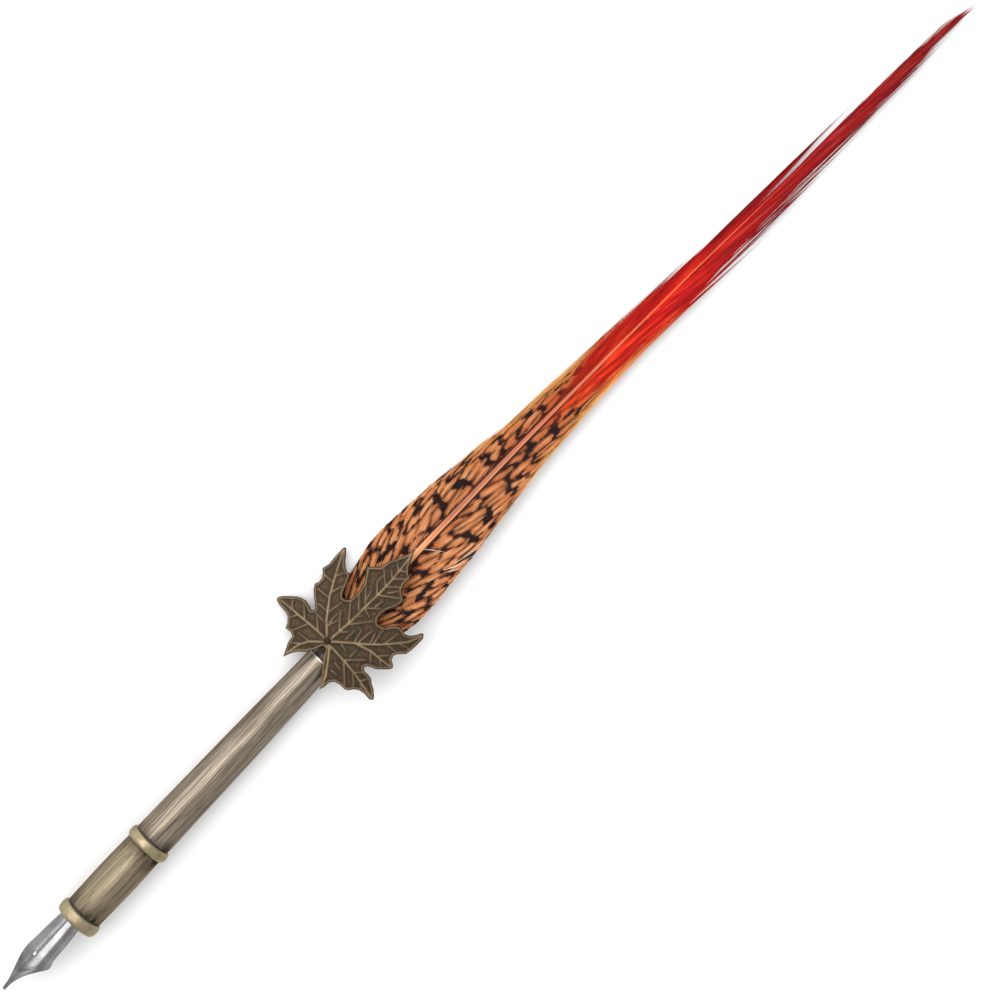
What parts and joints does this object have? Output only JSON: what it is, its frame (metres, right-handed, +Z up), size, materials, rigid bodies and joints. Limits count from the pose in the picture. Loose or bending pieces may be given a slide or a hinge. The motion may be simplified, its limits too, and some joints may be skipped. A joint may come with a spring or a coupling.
{
  "type": "quill dip pen",
  "caption": "Dip pen with a pull-out split nib, a two-ring metal holder that unscrews, a leaf badge and a long tapering feather.",
  "frame": {"origin": "centre of the bounding box's base, on the table the pen lies on", "axes": "+X runs from the nib to the feather's tip, +Z up; the pen lies rolled onto one lobe of its leaf"},
  "size_m": [0.2932, 0.0284, 0.0106],
  "materials": {
    "nib": "polished steel",
    "nib_clip": "plain spring steel",
    "front_ring": "satin pale brass",
    "front_washer": "matt black",
    "grip": "brushed antique brass",
    "connector": "machined",
    "middle_ring": "satin pale brass",
    "middle_washer": "matt black",
    "barrel": "brushed antique brass",
    "barrel_bush": "machined",
    "quill_collar": "dark stained",
    "leaf": "antique bronze, worn on the veins",
    "leaf_rivet": "antique bronze",
    "leaf_saddle": "antique bronze",
    "feather_shaft": "natural keratin",
    "vane_left": "natural barbs, dyed",
    "vane_right": "natural barbs, dyed"
  },
  "bodies": {
    "holder": {"barrel": "barrel", "barrel_bush": "barrel_bush", "quill_collar": "quill_collar", "leaf": "leaf", "leaf_rivet": "leaf_rivet", "leaf_saddle": "leaf_saddle", "feather_shaft": "feather_shaft", "vane_left": "vane_left", "vane_right": "vane_right"},
    "carrier": {"middle_washer": "middle_washer"},
    "section": {"grip": "grip", "connector": "connector", "middle_ring": "middle_ring", "front_ring": "front_ring", "front_washer": "front_washer", "nib_clip": "nib_clip"},
    "nib": {"nib": "nib"}
  },
  "joints": [
    {"name": "section_travel", "type": "slide", "parent": "holder", "child": "carrier", "axis": [-0.9996, 0, 0.0292], "range_m": [0, 0.008]},
    {"name": "section_turn", "type": "hinge", "parent": "carrier", "child": "section", "pos_m": [-0.1024, -0.00185, 0.00495], "axis": [-0.9996, 0, 0.0292], "range_deg": [0, 3600]},
    {"name": "nib_slide", "type": "slide", "parent": "section", "child": "nib", "axis": [-0.9996, 0, 0.0292], "range_m": [0, 0.0135]}
  ],
  "couplings": [
    {"joint": "section_turn", "follows": "section_travel", "rad_per_m": 7854}
  ]
}
